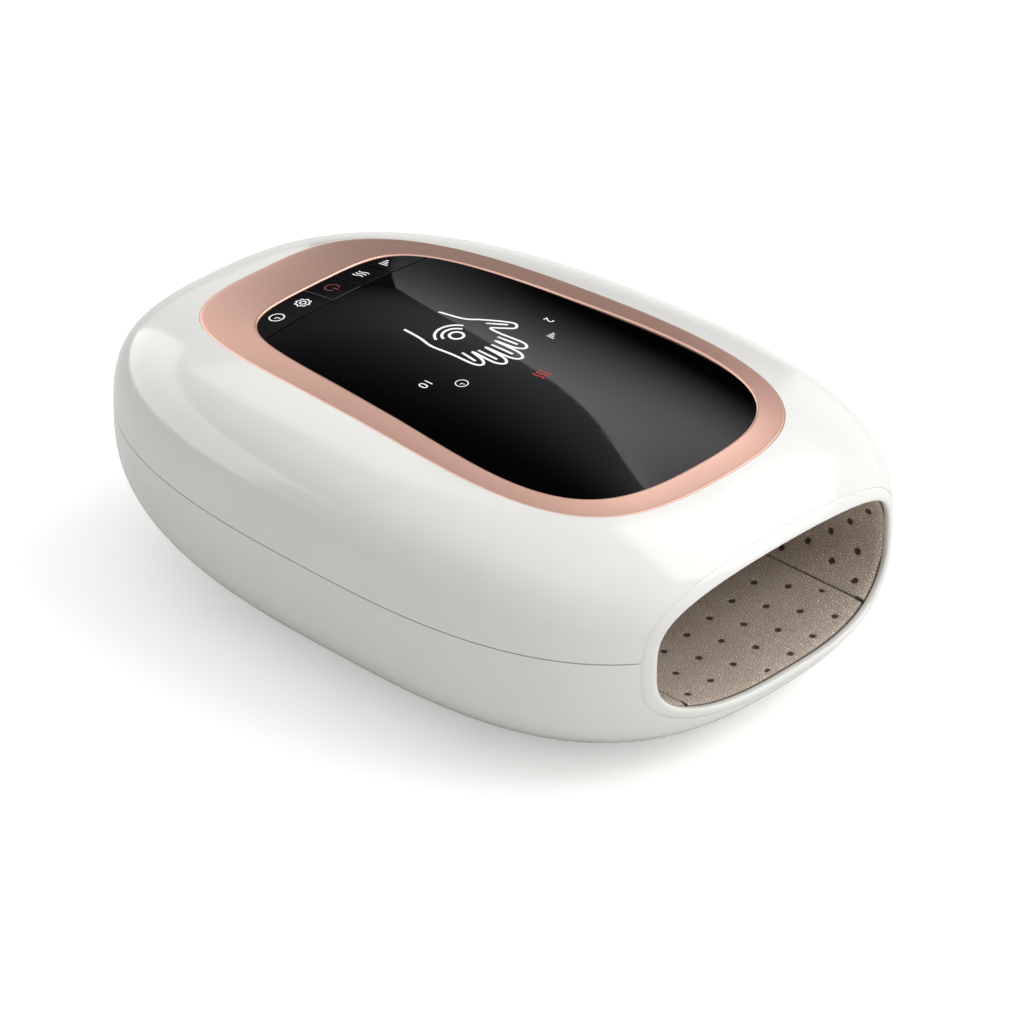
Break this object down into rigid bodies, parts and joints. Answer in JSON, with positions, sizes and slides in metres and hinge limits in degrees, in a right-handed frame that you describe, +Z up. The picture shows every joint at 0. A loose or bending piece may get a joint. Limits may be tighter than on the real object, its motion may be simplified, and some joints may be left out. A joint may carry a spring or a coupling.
{
  "type": "hand massager",
  "caption": "Pebble-shaped cordless hand massager: a leather-lined pocket whose air bags press the hand, under a black touch display in a metal ring.",
  "frame": {"origin": "centre of the footprint on the surface it stands on", "axes": "+Z up, the pocket's mouth faces -Y, the key row is towards +Y, X runs across"},
  "size_m": [0.1678, 0.2458, 0.0856],
  "materials": {
    "white_shell": "polished warm white",
    "rose_trim": "satin rose gold",
    "black_pane": "glossy black",
    "black_key": "glossy black",
    "black_plastic": "moulded black",
    "grey_plastic": "moulded grey",
    "green_board": "solder mask",
    "beige_leather": "grained beige imitation leather",
    "bag_film": "welded film",
    "amber_film": "amber film",
    "steel": "plated",
    "rotor_steel": "steel with copper windings",
    "brass": "turned",
    "black_rubber": "matt rubber",
    "clear_silicone": "translucent silicone",
    "cell_wrap": "blue wrap"
  },
  "bodies": {
    "housing": {"upper_shell": "white_shell", "lower_shell": "white_shell", "mouth_bezel": "white_shell", "trim_ring": "rose_trim", "display_pane": "black_pane", "display_tray": "black_plastic", "display_board": "green_board", "key_board": "green_board", "mouth_lining": "beige_leather", "left_lining": "beige_leather", "right_lining": "beige_leather", "end_lining": "beige_leather", "upper_air_bag": "bag_film", "lower_air_bag": "bag_film", "upper_pocket_frame": "grey_plastic", "lower_pocket_frame": "grey_plastic", "pump_motor_can": "steel", "motor_bush": "brass", "pump_head": "black_plastic", "pump_diaphragm": "black_rubber", "pump_sleeve": "black_rubber", "pump_tray": "grey_plastic", "valve_manifold": "black_plastic", "upper_bag_valve": "black_plastic", "lower_bag_valve": "black_plastic", "main_board": "green_board", "charge_port": "steel", "front_cell": "cell_wrap", "rear_cell": "cell_wrap", "left_cell_strip": "steel", "right_cell_strip": "steel", "case_screw_1": "steel", "case_screw_2": "steel", "case_screw_3": "steel", "case_screw_4": "steel", "foot_1": "black_rubber", "foot_2": "black_rubber", "foot_3": "black_rubber", "foot_4": "black_rubber", "pump_hose": "clear_silicone", "upper_bag_hose": "clear_silicone", "lower_bag_hose": "clear_silicone", "display_ribbon": "amber_film", "main_ribbon": "amber_film", "left_cell_lead": "black_rubber", "right_cell_lead": "black_rubber", "upper_motor_lead": "black_rubber", "lower_motor_lead": "black_rubber"},
    "timer_key": {"timer_key": "black_key"},
    "mode_key": {"mode_key": "black_key"},
    "power_key": {"power_key": "black_key"},
    "heat_key": {"heat_key": "black_key"},
    "strength_key": {"strength_key": "black_key"},
    "roof_pad": {"roof_pad": "beige_leather"},
    "floor_pad": {"floor_pad": "beige_leather", "heating_film": "amber_film"},
    "pump_rotor": {"pump_rotor": "rotor_steel"},
    "upper_bag_plunger": {"upper_bag_plunger": "steel"},
    "lower_bag_plunger": {"lower_bag_plunger": "steel"}
  },
  "joints": [
    {"name": "timer_press", "type": "slide", "parent": "housing", "child": "timer_key", "axis": [0, 0, -1], "range_m": [0, 0.0005], "stiffness_N_per_m": 2500, "springref_m": -0.0002},
    {"name": "mode_press", "type": "slide", "parent": "housing", "child": "mode_key", "axis": [0, 0, -1], "range_m": [0, 0.0005], "stiffness_N_per_m": 2500, "springref_m": -0.0002},
    {"name": "power_press", "type": "slide", "parent": "housing", "child": "power_key", "axis": [0, 0, -1], "range_m": [0, 0.0005], "stiffness_N_per_m": 2500, "springref_m": -0.0002},
    {"name": "heat_press", "type": "slide", "parent": "housing", "child": "heat_key", "axis": [0, 0, -1], "range_m": [0, 0.0005], "stiffness_N_per_m": 2500, "springref_m": -0.0002},
    {"name": "strength_press", "type": "slide", "parent": "housing", "child": "strength_key", "axis": [0, 0, -1], "range_m": [0, 0.0005], "stiffness_N_per_m": 2500, "springref_m": -0.0002},
    {"name": "roof_press", "type": "slide", "parent": "housing", "child": "roof_pad", "axis": [0, 0, -1], "range_m": [0, 0.008], "stiffness_N_per_m": 300, "springref_m": -0.004, "deforming": ["upper_air_bag"]},
    {"name": "floor_press", "type": "slide", "parent": "housing", "child": "floor_pad", "axis": [0, 0, 1], "range_m": [0, 0.006], "stiffness_N_per_m": 300, "springref_m": -0.003, "deforming": ["lower_air_bag"]},
    {"name": "rotor_spin", "type": "hinge", "parent": "housing", "child": "pump_rotor", "pos_m": [-0.032, 0.07285, 0.0519], "axis": [1, 0, 0], "continuous": true},
    {"name": "upper_valve_shift", "type": "slide", "parent": "housing", "child": "upper_bag_plunger", "axis": [0, 0, -1], "range_m": [0, 0.0015], "stiffness_N_per_m": 400, "springref_m": -0.001},
    {"name": "lower_valve_shift", "type": "slide", "parent": "housing", "child": "lower_bag_plunger", "axis": [0, 0, -1], "range_m": [0, 0.0015], "stiffness_N_per_m": 400, "springref_m": -0.001}
  ]
}
